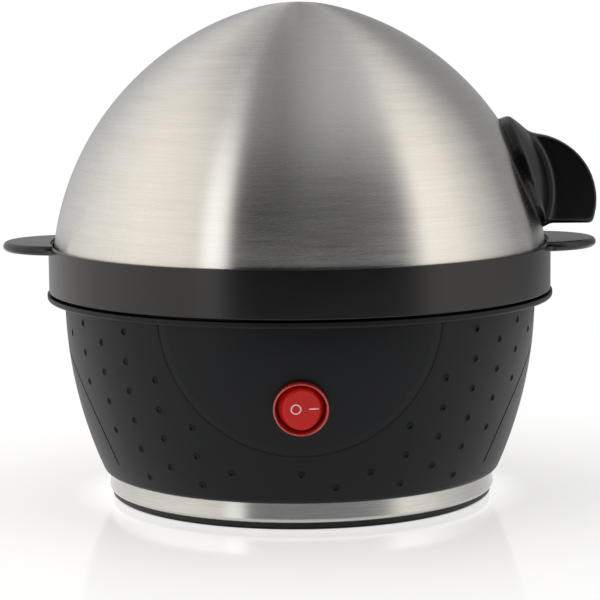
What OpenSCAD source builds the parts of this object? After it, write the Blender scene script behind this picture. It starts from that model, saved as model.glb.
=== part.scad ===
// Electric egg cooker: a dome lid on a lift-out egg tray, on a heated base with a rocker switch.
// Millimetres. The origin is on the table under the middle, +Z is up and the switch faces -Y.

/* [Housing] */
// Outer diameter of the housing at its lower edge
housing_low_d = 126.2; // [124.6:0.2:130]
// Radius of the curve of the housing's side
housing_curve_r = 135; // [100:1:220]
// Height of the flange's top above the table
flange_top_z = 65.4; // [63:0.2:72]
// How far the flange stands out under the collar
flange_lip = 0.6; // [0.2:0.1:1.2]
// How far the flange stands out over the housing's side
flange_over = 5.6; // [5:0.1:6.6]
// Height of the flange
flange_h = 1.8; // [1.6:0.1:2.4]
// Height of the flat edge above the flange's rounding
flange_edge = 1; // [0.8:0.1:1.2]
// Wall of the housing
housing_wall = 2.4; // [1.8:0.1:3]
// Rounding of the housing's lower edge
housing_edge_r = 2.2; // [0.5:0.1:3]
// Thickness of the deck that carries the pan
deck_t = 2.4; // [1.8:0.1:3]

/* [Front and rear panels] */
// Radius of the smooth panels, seen from the front
panel_r = 42.4; // [36:0.2:46]
// Height of the middle of their curve
panel_z = 66.4; // [62:0.2:70]
// How far they stand proud
panel_step = 0.35; // [0.2:0.05:0.8]

/* [Side arches] */
// Radius of the groove on each side, seen from the side
arch_r = 34; // [30:0.5:35]
// Height of the middle of its curve
arch_z = 17; // [14:0.5:18]
// Width of the groove
arch_groove_w = 0.8; // [0.4:0.1:1.5]
// Depth of the groove
arch_groove_t = 0.5; // [0.2:0.1:0.8]
// Height at which the groove ends
arch_low_z = 15; // [12:0.5:20]

/* [Dimples] */
// Diameter of a dimple
dimple_d = 2.3; // [1.6:0.1:3]
// Depth of a dimple
dimple_t = 0.7; // [0.3:0.1:0.9]
// Height from row to row
dimple_pitch = 9.2; // [7:0.1:11]
// Height of the lowest row
dimple_low_z = 13.6; // [13:0.1:16]
// Angle from column to column
dimple_step = 9; // [8.5:0.5:9]

/* [Steel ring] */
// How far the steel ring lies inside the housing's lower edge
ring_inset = 1.3; // [1.1:0.1:2.6]
// Height of the ring
ring_h = 6.1; // [4:0.1:8]
// Thickness of its sheet
ring_t = 0.6; // [0.4:0.1:1]
// Width of the flange folded in under the housing
ring_lip = 4.8; // [4.2:0.1:6]
// Angle by which the ring's wall leans in
ring_lean = 7.5; // [4:0.5:8]
// Outer radius of the fold between wall and flange
ring_fold_r = 1.2; // [1.1:0.1:1.4]

/* [Base plate] */
// How far the base plate's edge lies inside the ring
plate_inset = 1; // [0.6:0.1:2.4]
// Thickness of its rim
plate_rim_t = 1.4; // [1:0.1:2]
// Height of the plug that centres it in the ring
plate_plug_h = 1.2; // [0.8:0.1:2]
// Length of a cooling slot
slot_l = 22; // [14:1:26]
// Width of a cooling slot
slot_w = 3; // [2:0.5:4]
// Distance of the slots from the middle
slot_ring_r = 20; // [18:1:24]

/* [Rubber feet] */
// Diameter of a foot
foot_d = 10; // [8:0.5:12]
// How far the feet stand out of the plate
foot_drop = 0.8; // [0.5:0.1:1.5]
// Depth of their seats
foot_seat_t = 1.2; // [0.8:0.1:1.6]
// Distance of the feet from the plate's edge
foot_inset = 13.8; // [11.8:0.2:16.4]

/* [Heating pan] */
// Width from the flange's edge to the pan's mouth
flange_w = 16.6; // [14.6:0.2:17.6]
// Width of the pan's floor around the heat spreader
pan_floor_edge = 10; // [8.5:0.1:12]
// Depth of the pan
pan_depth = 17.4; // [15.5:0.2:19]
// Depth of its straight wall
pan_straight = 9.4; // [8.4:0.2:11]
// Width of its rim
pan_rim_w = 8; // [7:0.2:8.4]
// Thickness of its sheet
pan_t = 0.8; // [0.6:0.1:1]
// How far the rim lies under the flange's top
pan_sink = 1; // [0.6:0.1:1.5]
// Thickness of the seal under the rim
seal_t = 1; // [0.6:0.1:1.5]
// Width of the seal
seal_w = 4; // [3:0.1:5]
// Length of the studs under the pan
stud_l = 5.6; // [5:0.1:7]

/* [Heater] */
// Diameter of the heat spreader
spreader_d = 80; // [76:0.5:82]
// Thickness of the heat spreader
spreader_t = 3; // [2:0.1:4]
// Diameter of the heating element's ring, along its middle
element_ring_d = 60; // [58:0.5:66]
// Diameter of the element's tube
element_d = 6.6; // [5:0.1:7.6]
// How far the tube is flattened against the spreader
element_flat = 0.5; // [0.3:0.1:1]
// Half of the opening angle of the element's ring
element_gap_a = 15; // [12:1:20]
// Length of the element's legs
element_leg = 10; // [8:0.5:12]
// Length of the blades on the legs
element_blade_l = 7; // [5:0.5:8]

/* [Thermostat] */
// Diameter of the thermostat's cap
thermostat_cap_d = 17.4; // [15:0.2:18]
// Height of the cap
thermostat_cap_h = 2.5; // [2:0.1:3]
// Diameter of its body
thermostat_d = 16; // [13:0.2:16.4]
// Height of its body
thermostat_h = 8; // [6:0.2:9]
// Distance between its two screws
thermostat_pitch = 24; // [23:0.2:26]
// Thickness of its clamp
clamp_t = 0.8; // [0.6:0.1:1.2]
// Distance between its two blades
thermostat_blade_gap = 8; // [6:0.5:9]
// Length of its blades
thermostat_blade_l = 6; // [4:0.5:7]
// Radius of the clamp's ears
clamp_ear_r = 4; // [3.4:0.1:4.6]
// Diameter of the thermal fuse
fuse_d = 4; // [3:0.1:4.4]
// Length of the thermal fuse
fuse_l = 14; // [10:0.5:16]
// Distance of the fuse in front of the middle
fuse_front = 18; // [17:0.2:18.6]
// Wall of the fuse's clip
fuse_clip_wall = 1; // [0.6:0.1:1.4]
// Width of the clip's foot on each side of the fuse
fuse_clip_foot = 3; // [1:0.1:3.2]

/* [Switch] */
// Height of the switch's middle
switch_z = 39.5; // [36:0.1:40.5]
// Outer diameter of the switch's bezel
bezel_d = 16.4; // [15.9:0.1:18]
// How far the bezel stands out
bezel_h = 2.4; // [2:0.1:3]
// Diameter of the barrel behind the bezel
barrel_d = 15.4; // [15.2:0.1:15.6]
// Depth of the barrel
barrel_l = 12; // [10.5:0.1:13]
// Diameter of the hole for the rocker
rocker_hole_d = 14.5; // [14.4:0.1:14.6]
// Diameter of the ball that the rocker is cut from
rocker_d = 14.1; // [13.6:0.1:14.2]
// Distance from the rocker's pivot to its face
rocker_arm = 3.7; // [3.2:0.1:4]
// Angle between the rocker's two positions
rocker_swing = 14; // [10:1:15]
// Diameter of the rocker's pivots
rocker_pin_d = 1.8; // [1.2:0.1:2.2]
// Depth of the rocker behind its pivots
rocker_depth = 2.6; // [2:0.1:3]
// How far the rocker's face lies under the bezel's edge at mid travel
rocker_sink = 0.1; // [0:0.1:0.6]
// Rounding of the bezel's edge
switch_edge_r = 0.9; // [0.4:0.1:1]
// Diameter of the lamp behind the rocker
lamp_d = 2; // [1.4:0.1:2.2]
// Width of a blade terminal
blade_w = 4.8; // [4:0.1:5]
// Thickness of a blade terminal
blade_t = 0.8; // [0.5:0.1:0.9]
// Length of the switch's blades
blade_l = 6.4; // [5:0.1:7]
// Distance between the switch's blades
blade_pitch = 4.2; // [3.8:0.1:4.6]

/* [Cord inlet] */
// Height of the inlet's middle
inlet_z = 21; // [19:0.5:24]
// Bore of the grommet
inlet_bore_d = 7.2; // [6:0.1:8]
// Diameter of the grommet's neck
inlet_neck_d = 10.4; // [9.6:0.1:11.4]
// Diameter of the grommet's outer flange
inlet_flange_d = 14; // [12.6:0.2:15]
// Thickness of the grommet's flanges
inlet_flange_t = 2.4; // [1.5:0.1:3]
// Length of the boss in the housing
inlet_boss_l = 8.6; // [8:0.1:10]
// Width of the boss around the grommet's flange
inlet_boss_edge = 1; // [0.5:0.1:1.4]

/* [Egg tray] */
// Outer diameter of the collar
collar_d = 160; // [159:0.2:164]
// Height of the collar
collar_h = 14.8; // [13:0.2:18]
// Shadow gap between the flange and the collar
collar_gap = 0.6; // [0.4:0.1:1.2]
// Wall of the collar
collar_wall = 1.2; // [1:0.1:1.8]
// Rounding of the collar's edges
collar_edge_r = 0.5; // [0.2:0.1:0.6]
// Depth of the lid's seat under the collar's top
lid_seat_t = 3.2; // [2:0.1:5]
// Width of the lid's seat
lid_seat_w = 3.4; // [2.6:0.1:4]
// Height of the tray's floor over the flange
tray_rise = 4.6; // [3:0.2:6]
// Thickness of the tray's floor
tray_t = 2; // [1.5:0.1:3]
// Depth of the skirt under the floor
tray_skirt = 12; // [8:0.5:13.5]
// Wall of the skirt and of the standing rim
tray_rib = 1.6; // [1.2:0.1:2]
// Diameter of an egg hole
egg_hole_d = 34; // [30:0.5:34.4]
// Gap between the outer egg holes and the skirt
egg_edge = 2.4; // [2.2:0.1:4.4]
// Height of the cup around an egg hole
egg_cup_h = 4; // [2:0.5:5]
// Wall of that cup
egg_cup_wall = 1.6; // [1.2:0.1:2]
// Diameter of a steam hole
steam_d = 5; // [3:0.5:6]
// Distance of the steam holes from the middle
steam_ring_r = 24.6; // [23:0.2:26]
// Radius of a tab
tab_r = 19; // [16.5:0.5:21]
// How far the tabs stand out of the collar
tab_out = 14.7; // [10:0.1:18]
// Thickness of a tab
tab_t = 3; // [2:0.1:3.6]
// Height of a tab's top over the collar's
tab_rise = 0.8; // [0:0.1:1]
// Fillet where a tab meets the collar
tab_fillet_r = 4; // [2:0.5:6]

/* [Lid] */
// Gap between the lid's edge and the collar
lid_gap = 0.25; // [0.15:0.05:0.4]
// Height of the dome
dome_h = 79.2; // [72:0.1:84]
// Radius of the dome's curve
dome_curve_r = 89.2; // [85:0.1:96]
// Radius of the dome's top
dome_tip_r = 51; // [40:0.5:56]
// Thickness of the dome's sheet
dome_t = 0.6; // [0.4:0.1:1]
// Radius of the rolled hem
hem_r = 0.9; // [0.8:0.1:1.2]
// Diameter of the steam vent
vent_d = 4; // [2:0.5:6]
// Angle of the vent above the horizon
vent_a = 48; // [44:1:52]

/* [Lid handle] */
// Height of the pad's middle over the lid's edge
pad_up = 25; // [23:0.5:27]
// Diameter of the pad
pad_d = 37; // [34:0.5:38]
// Height of the pad's crown over the dome
pad_crown = 7; // [5:0.1:8]
// Height of the pad's edge over the dome's tangent
pad_edge = 0.2; // [0:0.1:1]
// Angle by which the pad stands steeper than the dome
pad_lean = 4; // [0:0.5:6]
// How far the fin's tip stands out from the lid's edge
fin_out = 16.05; // [13.5:0.05:18.5]
// Radius of the fin's curve
fin_r = 21; // [20:0.5:24]
// Height of the middle of that curve over the lid's edge
fin_up = 15.9; // [14:0.1:18]
// Height of the fin's lower edge over the lid's edge
fin_low = 8.5; // [7.5:0.1:11]
// Rounding of the fin's lower corner
fin_corner_r = 1.2; // [0.8:0.1:2]
// Thickness of the fin
fin_t = 8; // [7:0.2:10]
// Distance between the handle's screws
handle_pitch = 16; // [14:0.5:18]
// Depth of the screws in the handle
handle_screw_l = 8; // [6:0.5:9]
// Diameter of the washers in the lid
washer_d = 7; // [6.2:0.1:8]
// Thickness of the washers
washer_t = 0.8; // [0.5:0.1:1.2]

/* [Fasteners] */
// Diameter of the screws
screw_d = 3; // [2.6:0.1:3.2]
// Diameter of a screw head
screw_head_d = 5.8; // [5:0.1:6]
// Height of a screw head
screw_head_h = 1.3; // [1:0.1:1.3]
// Distance of the base plate's screws from the ring's outside
base_screw_inset = 11.8; // [11.4:0.2:13.8]
// Height of the bosses for those screws
boss_h = 14; // [11:0.5:18]
// Depth of the base plate's screws in their bosses
base_screw_l = 10; // [8:0.5:12]
// Thickness of the bosses' ribs
rib_t = 2.4; // [1.6:0.1:3]
// Wall of a screw boss
boss_wall = 2.2; // [1.8:0.1:2.4]
// Distance of the pan's studs from the heat spreader
stud_gap = 5.2; // [4.8:0.1:6]
// Distance of the pan brackets' screws from the housing's wall
bracket_inset = 4.1; // [4:0.1:5]
// Width of a pan bracket
bracket_w = 9; // [8:0.5:10]
// Gap at both ends of a pan bracket
bracket_end_gap = 1; // [0.6:0.1:1.2]
// Thickness of a pan bracket
bracket_t = 1.2; // [0.8:0.1:1.6]
// Length of the screws in the housing
bracket_screw_l = 5; // [4:0.5:6]
// Width across the flats of a nut
nut_flats = 5.5; // [5:0.1:5.8]
// Height of a nut
nut_h = 2.4; // [2:0.1:2.6]

/* [Terminal block] */
// Width of the terminal block
block_w = 22; // [18:0.5:24]
// Depth of the terminal block
block_depth = 12; // [10:0.5:13]
// Height of the terminal block
block_h = 11; // [10:0.5:12]
// Distance of the block's middle behind the axis
block_y = 40; // [38:0.5:42]
// Distance between its two poles
block_pitch = 12; // [10:0.5:14]
// Length of the screws in its poles
pole_screw_l = 3; // [2:0.1:3.4]
// Depth of the block's own screw in the base plate
block_screw_l = 1.6; // [1.2:0.1:1.8]
// Diameter of a lead
lead_d = 2.2; // [1.6:0.1:2.4]
// How far the leads reach into the block
lead_in = 3; // [2:0.5:4]
// Height at which the leads run over the base plate
lead_low_z = 8; // [6.5:0.1:9]
// Height of the leads' loops under the heater
lead_mid_z = 15; // [14:0.1:16]
// Distance of the outer leads from the middle
lead_side = 18; // [15:0.5:20]
// Distance at which the leads rise to the switch
lead_front = 36; // [33:0.5:38]

/* [Hidden] */
$fn = 96;

// Clearances, laps and how far a cut reaches past the face it opens
cut = 1;
eps = 0.01;
fit_gap = 0.1;
thread_gap = 0.05;
hole_gap = 0.2;
seat_gap = 0.3;
skirt_gap = 0.6;
lap = 0.3;
far = 300;
fold_steps = 8;

// Heights, from the table up
plate_z = foot_drop;
ring_z = plate_z + plate_rim_t;
plate_top_z = ring_z + plate_plug_h;
skirt_z = ring_z + ring_t;
low_z = ring_z + ring_h;
side_top_z = flange_top_z - flange_h;
pan_rim_z = flange_top_z - pan_sink;
seal_z = pan_rim_z - pan_t - seal_t;
deck_z = seal_z - deck_t;
pan_floor_z = pan_rim_z - pan_depth;
pan_under_z = pan_floor_z - pan_t;
spreader_z = pan_under_z - spreader_t;
collar_z = flange_top_z + collar_gap;
collar_top_z = collar_z + collar_h;
lid_z = collar_top_z - lid_seat_t;
tray_z = flange_top_z + tray_rise;
tray_top_z = tray_z + tray_t;

// Diameters and radii
flange_d = collar_d + 2 * flange_lip;
housing_top_d = flange_d - 2 * flange_over;
ring_d = housing_low_d - 2 * ring_inset;
plate_d = ring_d - 2 * plate_inset;
pan_floor_d = spreader_d + 2 * pan_floor_edge;
ring_fold_c = [ring_d / 2 - ring_fold_r, ring_z + ring_fold_r];
skirt_r = ring_wall_r(ring_t, low_z) - fit_gap;
base_screw_r = ring_d / 2 - base_screw_inset;
foot_ring_r = plate_d / 2 - foot_inset;
pan_r = flange_d / 2 - flange_w;
stud_ring_r = spreader_d / 2 + stud_gap;
pan_rim_r = pan_r + pan_rim_w;
recess_r = pan_rim_r + seat_gap;
deck_r = pan_r + pan_t + hole_gap;
lid_seat_r = collar_d / 2 - collar_wall;
dome_r = lid_seat_r - lid_gap;
fin_reach = dome_r + fin_out;
tab_reach = collar_d / 2 + tab_out;
screw_r = screw_d / 2;
head_r = screw_head_d / 2;
boss_r = screw_r + boss_wall;

// Fastener angles
base_screw_angles = [60, 180, 300];
bracket_angles = [0, 120, 240];
foot_angles = [45, 135, 225, 315];

// The point where two circles meet, on the left of the way from the first middle to the second
function meet(p, p_r, q, q_r) =
    let (d = norm(q - p))
    let (u = (q - p) / d)
    let (along = (p_r * p_r - q_r * q_r + d * d) / (2 * d))
    let (up = sqrt(p_r * p_r - along * along))
    p + along * u + up * [-u[1], u[0]];

// Radius of the ring's leaning wall at a depth in its sheet and a height
function ring_wall_r(depth, z) =
    ring_fold_c[0] + (ring_fold_r - depth - (z - ring_fold_c[1]) * sin(ring_lean)) / cos(ring_lean);

// Middle of the curve of the housing's side, and its radius at a height
side_low = [housing_low_d / 2, low_z];
side_high = [housing_top_d / 2, side_top_z];
side_c = meet(side_low, housing_curve_r, side_high, housing_curve_r);
function housing_r(z) = side_c[0] + sqrt(housing_curve_r * housing_curve_r - (z - side_c[1]) * (z - side_c[1]));
function housing_tilt(z) = asin((z - side_c[1]) / housing_curve_r);
bracket_screw_r = housing_r(pan_under_z) - housing_wall - bracket_inset;

// Middle of the dome's curve, and the height at which its top begins
dome_edge = [dome_r, lid_z];
dome_tip = [0, lid_z + dome_h - dome_tip_r];
dome_c = meet(dome_edge, dome_curve_r, dome_tip, dome_curve_r - dome_tip_r);
tip_z = dome_c[1] + (dome_tip[1] - dome_c[1]) * dome_curve_r / (dome_curve_r - dome_tip_r);

// The handle's place on the dome
pad_a = asin((lid_z + pad_up - dome_c[1]) / dome_curve_r);
screw_a = asin(handle_pitch / 2 / dome_curve_r);
pad_sag = pad_crown - pad_edge;
crown_r = (pad_d * pad_d / 4 + pad_sag * pad_sag) / (2 * pad_sag);

// The switch's place on the front panel
switch_tilt = housing_tilt(switch_z);
switch_r = housing_r(switch_z) + panel_step;
switch_boss_r = bezel_d / 2 + hole_gap;
rocker_rest = rocker_swing / 2;
rocker_face = bezel_h - rocker_sink;
pivot = rocker_face - rocker_arm;
rocker_foot_r = sqrt(rocker_d * rocker_d / 4 - rocker_depth * rocker_depth);
rocker_low = pivot - rocker_depth - rocker_foot_r * sin(rocker_swing / 2);
case_floor = rocker_low - lamp_d - 2 * fit_gap;

// The cord inlet's seat on the rear panel
inlet_boss_r = inlet_flange_d / 2 + inlet_boss_edge;
inlet_y = housing_r(inlet_z + inlet_boss_r) + panel_step + hole_gap;

module lathe() {
    rotate_extrude() intersection() {
        children();
        translate([0, -far]) square([far, 2 * far]);
    }
}

// Both the housing's side and what follows it lie between two curves about the same middle
module side_band(inner, outer, z0, z1) {
    intersection() {
        difference() {
            translate(side_c) circle(housing_curve_r + outer);
            translate(side_c) circle(housing_curve_r + inner);
        }
        translate([0, z0]) square([far, z1 - z0]);
    }
}

module box2(r0, r1, z0, z1) {
    translate([r0, z0]) square([r1 - r0, z1 - z0]);
}

// Places a child on the dome, with its Z axis along the dome's normal at an angle above the horizon
module on_dome(angle) {
    translate([dome_c[0], 0, dome_c[1]]) rotate([0, 90 - angle, 0]) translate([0, 0, dome_curve_r]) children();
}

// Places a child in the middle of the handle's pad, with its Z axis along the pad's
module on_pad() {
    on_dome(pad_a) rotate([0, pad_lean, 0]) children();
}

// Places a child on the front panel, with its Z axis along the panel's normal
module on_switch() {
    translate([0, -switch_r, switch_z]) rotate([90 - switch_tilt, 0, 0]) children();
}

// A point of the switch's own frame
function switch_point(p) =
    let (a = 90 - switch_tilt)
    [p[0], p[1] * cos(a) - p[2] * sin(a) - switch_r, switch_z + p[1] * sin(a) + p[2] * cos(a)];

// Places a child at the cord inlet, with its Z axis pointing out of the rear
module on_inlet() {
    translate([0, inlet_y, inlet_z]) rotate([-90, 0, 0]) children();
}

module around(angles, radius) {
    for (a = angles) rotate([0, 0, a]) translate([radius, 0, 0]) children();
}

// A screw that stands head down with the seat of its head at the origin
module screw(length, head_h = screw_head_h) {
    cylinder(r = screw_r - thread_gap, h = length);
    translate([0, 0, -head_h]) cylinder(r = head_r, h = head_h);
}

// A straight cut of the given length, half above and half below the origin
module through(length) {
    linear_extrude(length, center = true) children();
}

module ring(outer_r, inner_r, h) {
    difference() {
        cylinder(r = outer_r, h = h);
        translate([0, 0, -eps]) cylinder(r = inner_r, h = h + 2 * eps);
    }
}

// Lid

// The filled dome, grown by an amount: a side curve below and a round top above
module dome_solid(grow) {
    lathe() intersection() {
        translate(dome_c) circle(dome_curve_r + grow, $fn = 240);
        translate([0, lid_z]) square([far, tip_z - lid_z]);
    }
    lathe() intersection() {
        translate(dome_tip) circle(dome_tip_r + grow, $fn = 240);
        translate([0, tip_z]) square([far, far]);
    }
}

module arc_sheet(middle, radius, thickness) {
    translate(middle) difference() {
        circle(radius, $fn = 240);
        circle(radius - thickness, $fn = 240);
    }
}

// The sheet's two curves meet on the line through both their middles, where the top one laps over the other
module dome_sheet() {
    way = unit(dome_tip - dome_c);
    lap_way = way + [lap / dome_tip_r, 0];
    intersection() {
        arc_sheet(dome_c, dome_curve_r, dome_t);
        polygon([dome_c, dome_c + [far, -far], dome_c + [far, far], dome_c + 2 * far * way]);
        translate([0, lid_z]) square(far);
    }
    intersection() {
        arc_sheet(dome_tip, dome_tip_r + eps, dome_t + 2 * eps);
        polygon([dome_tip, dome_tip + far * lap_way, dome_tip + [0, far]]);
    }
}

module lid_dome() {
    hem_x = dome_r - dome_t / 2 - hem_r;
    color("silver") difference() {
        union() {
            lathe() dome_sheet();
            lathe() translate([hem_x, lid_z + hem_r]) circle(hem_r);
        }
        for (s = [-1, 1]) on_dome(pad_a + s * screw_a) through(2 * (dome_t + cut)) circle(screw_r + hole_gap);
        rotate([0, 0, 90]) on_dome(vent_a) through(2 * (dome_t + cut)) circle(d = vent_d);
    }
}

// What is cut off the fin's lower corner to round it
module fin_corner_cut(fin_c, low) {
    up = low + fin_corner_r;
    corner = [fin_c[0] + sqrt(pow(fin_r - fin_corner_r, 2) - pow(fin_c[1] - up, 2)), up];
    reach = 3 * fin_corner_r;
    out = reach * unit(corner - fin_c);
    down = [0, -reach];
    difference() {
        polygon([corner, corner + out, corner + out + down, corner + down]);
        translate(corner) circle(fin_corner_r);
    }
}

module fin_outline() {
    fin_c = [fin_reach - fin_r, lid_z + fin_up];
    low = lid_z + fin_low;
    difference() {
        union() {
            intersection() {
                translate(fin_c) circle(fin_r);
                box2(fin_c[0], far, low, far);
            }
            box2(dome_r / 2, fin_c[0], low, fin_c[1] + fin_r);
        }
        fin_corner_cut(fin_c, low);
    }
}

module lid_handle() {
    color("#141416") difference() {
        union() {
            intersection() {
                on_pad() translate([0, 0, -pad_d / 2]) cylinder(d = pad_d, h = pad_d);
                on_pad() translate([0, 0, pad_crown - crown_r]) sphere(crown_r);
            }
            translate([0, fin_t / 2, 0]) rotate([90, 0, 0]) linear_extrude(fin_t) fin_outline();
        }
        dome_solid(fit_gap);
        for (s = [-1, 1]) on_dome(pad_a + s * screw_a) cylinder(r = screw_r, h = handle_screw_l + hole_gap);
    }
}

washer_seat = dome_t + washer_d * washer_d / (8 * (dome_r - dome_t)) + thread_gap;

module handle_screws() {
    color("lightgrey") for (s = [-1, 1]) on_dome(pad_a + s * screw_a)
        translate([0, 0, -washer_seat - washer_t]) screw(handle_screw_l + washer_seat + washer_t);
}

module handle_washers() {
    color("grey") for (s = [-1, 1]) on_dome(pad_a + s * screw_a)
        translate([0, 0, -washer_seat - washer_t]) ring(washer_d / 2, screw_r + hole_gap, washer_t);
}

// Egg tray

skirt_out_r = pan_r - skirt_gap;
egg_ring_r = skirt_out_r - egg_edge - egg_hole_d / 2;
egg_places = concat([[0, 0]], [for (a = [30 : 60 : 330]) egg_ring_r * [cos(a), sin(a)]]);
tab_x = tab_reach - tab_r;
rim_out_r = (recess_r + flange_d / 2) / 2;

// The round tab, with its edge rounded above and below
module tab() {
    edge = tab_t / 2;
    rotate_extrude() {
        square([tab_r - edge, tab_t]);
        translate([tab_r - edge, edge]) intersection() {
            circle(edge);
            translate([0, -edge]) square([edge, tab_t]);
        }
    }
}

// Fillets in the corners between a tab and the collar
module tab_fillets() {
    collar_r = collar_d / 2;
    middle = meet([tab_x, 0], tab_r + tab_fillet_r, [0, 0], collar_r + tab_fillet_r);
    on_tab = [tab_x, 0] + (middle - [tab_x, 0]) * tab_r / (tab_r + tab_fillet_r);
    on_collar = middle * collar_r / (collar_r + tab_fillet_r);
    inside = [collar_r - collar_wall / 2, 0];
    for (s = [0, 1]) mirror([0, s, 0]) linear_extrude(tab_t - tab_rise - 2 * collar_edge_r) difference() {
        polygon([inside, [on_tab[0], on_tab[1]], middle, on_collar]);
        translate(middle) circle(tab_fillet_r);
    }
}

module collar_profile() {
    outer = collar_d / 2;
    edge = collar_edge_r;
    box2(lid_seat_r, outer - edge, collar_z, collar_top_z);
    box2(lid_seat_r, outer, collar_z + edge, collar_top_z - edge);
    for (z = [collar_z + edge, collar_top_z - edge]) translate([outer - edge, z]) circle(edge);
    box2(lid_seat_r - lid_seat_w, lid_seat_r + eps, tray_z, lid_z);
}

module egg_tray() {
    color("#1b1b1e") difference() {
        union() {
            lathe() {
                collar_profile();
                box2(0, lid_seat_r, tray_z, tray_top_z);
                box2(rim_out_r - tray_rib, rim_out_r, flange_top_z, tray_z + eps);
                box2(skirt_out_r - tray_rib, skirt_out_r, tray_z - tray_skirt, tray_z + eps);
            }
            for (p = egg_places) translate([p[0], p[1], tray_z])
                cylinder(d = egg_hole_d + 2 * egg_cup_wall, h = tray_t + egg_cup_h);
            for (s = [0, 180]) rotate([0, 0, s]) difference() {
                union() {
                    translate([tab_x, 0, collar_top_z + tab_rise - tab_t]) tab();
                    translate([0, 0, collar_top_z + tab_rise - tab_t + collar_edge_r]) tab_fillets();
                }
                translate([0, 0, tray_z]) cylinder(r = lid_seat_r + collar_wall / 2, h = far);
            }
        }
        for (p = egg_places) translate([p[0], p[1], tray_z])
            through(2 * (tray_t + egg_cup_h + cut)) circle(d = egg_hole_d);
        around([0 : 60 : 300], steam_ring_r) translate([0, 0, tray_z])
            through(2 * (tray_t + cut)) circle(d = steam_d);
    }
}

// Base

module housing_profile() {
    flange_r = flange_d / 2;
    bead_r = flange_h - flange_edge;
    side_band(-housing_wall, 0, low_z, side_top_z + lap);
    box2(skirt_r - housing_wall, skirt_r, skirt_z, low_z + housing_wall);
    box2(skirt_r - housing_wall, housing_r(low_z) - housing_edge_r, low_z, low_z + housing_wall);
    box2(deck_r, housing_r(deck_z) - housing_wall / 2, deck_z, seal_z);
    box2(recess_r, flange_r - bead_r, side_top_z, flange_top_z);
    box2(recess_r, flange_r, flange_top_z - flange_edge, flange_top_z);
    intersection() {
        translate([flange_r - bead_r, flange_top_z - flange_edge]) circle(bead_r);
        box2(flange_r - bead_r - lap, flange_r, side_top_z, flange_top_z);
    }
}

// What is cut off the housing's lower edge to round it
module edge_cut() {
    z = low_z + housing_edge_r;
    r = side_c[0] + sqrt(pow(housing_curve_r - housing_edge_r, 2) - pow(z - side_c[1], 2));
    n = ([r, z] - side_c) / (housing_curve_r - housing_edge_r);
    reach = 3 * housing_edge_r;
    difference() {
        polygon([[r, z], [r, z] + reach * n, [r + reach, low_z - eps], [r, low_z - eps]]);
        translate([r, z]) circle(housing_edge_r);
    }
}

// First row and count of the dimples in each column, from the front round to the side
dimple_columns = [[0, 1], [0, 1], [0, 1], [0, 3], [0, 4], [0, 6], [1, 4], [3, 3], [4, 1], [5, 1], [4, 1]];

module dimple(z) {
    ball_r = (dimple_d * dimple_d / 4 + dimple_t * dimple_t) / (2 * dimple_t);
    out = housing_curve_r + ball_r - dimple_t;
    translate([side_c[0] + out * cos(housing_tilt(z)), 0, side_c[1] + out * sin(housing_tilt(z))])
        sphere(ball_r, $fn = 24);
}

module dimples() {
    for (column = [0 : len(dimple_columns) - 1], half = [0, 180], side = [-1, 1]) {
        first = dimple_columns[column][0];
        start = dimple_low_z + (column % 2 == 0 ? dimple_pitch / 2 : 0);
        doubled = (column == 0 || column * dimple_step == 90) && side == 1;
        for (row = [first : first + dimple_columns[column][1] - 1])
            if (!doubled && start + row * dimple_pitch + dimple_d / 2 < side_top_z)
                rotate([0, 0, half - 90 + side * column * dimple_step]) dimple(start + row * dimple_pitch);
    }
}

// Bosses and ribs stop inside the wall
module inside_wall() {
    intersection() {
        children();
        lathe() intersection() {
            translate(side_c) circle(housing_curve_r - housing_wall / 2);
            box2(0, far, plate_top_z, flange_top_z);
        }
    }
}

module boss_ribs() {
    bracket_boss_h = bracket_screw_l + boss_wall - hole_gap;
    inside_wall() {
        around(base_screw_angles, base_screw_r) {
            translate([0, 0, plate_top_z]) cylinder(r = boss_r, h = boss_h);
            translate([0, -rib_t / 2, low_z + lap]) cube([far, rib_t, plate_top_z + boss_h - low_z - lap]);
        }
        around(bracket_angles, bracket_screw_r) {
            translate([0, 0, pan_under_z]) cylinder(r = boss_r, h = bracket_boss_h);
            translate([0, -rib_t / 2, pan_under_z]) cube([far, rib_t, bracket_boss_h]);
        }
    }
}

module housing() {
    color("#202123") difference() {
        union() {
            lathe() difference() {
                housing_profile();
                edge_cut();
            }
            intersection() {
                lathe() side_band(-housing_wall / 2, panel_step, low_z + housing_edge_r, side_top_z + lap);
                translate([0, far / 2, panel_z]) rotate([90, 0, 0]) cylinder(r = panel_r, h = far);
            }
            boss_ribs();
            on_switch() translate([0, 0, -housing_wall]) cylinder(r = switch_boss_r, h = housing_wall);
            on_inlet() translate([0, 0, -inlet_boss_l]) cylinder(r = inlet_boss_r, h = inlet_boss_l);
        }
        intersection() {
            lathe() side_band(-arch_groove_t, cut, arch_low_z, side_top_z);
            translate([-far / 2, 0, arch_z]) rotate([0, 90, 0])
                ring(arch_r + arch_groove_w / 2, arch_r - arch_groove_w / 2, far);
        }
        dimples();
        on_switch() through(2 * barrel_l) circle(d = barrel_d + 2 * fit_gap);
        on_inlet() through(2 * (inlet_boss_l + cut)) circle(d = inlet_neck_d + 2 * fit_gap);
        around(base_screw_angles, base_screw_r) translate([0, 0, plate_top_z])
            through(2 * (base_screw_l + hole_gap)) circle(screw_r);
        around(bracket_angles, bracket_screw_r) translate([0, 0, pan_under_z])
            through(2 * (bracket_screw_l + hole_gap)) circle(screw_r);
    }
}

// Points on the fold of the ring's sheet, from its flange up to its wall
function fold_points(r) =
    let (sweep = 90 + ring_lean)
    [for (i = [0 : fold_steps]) let (a = sweep * i / fold_steps - 90) ring_fold_c + r * [cos(a), sin(a)]];

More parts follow.
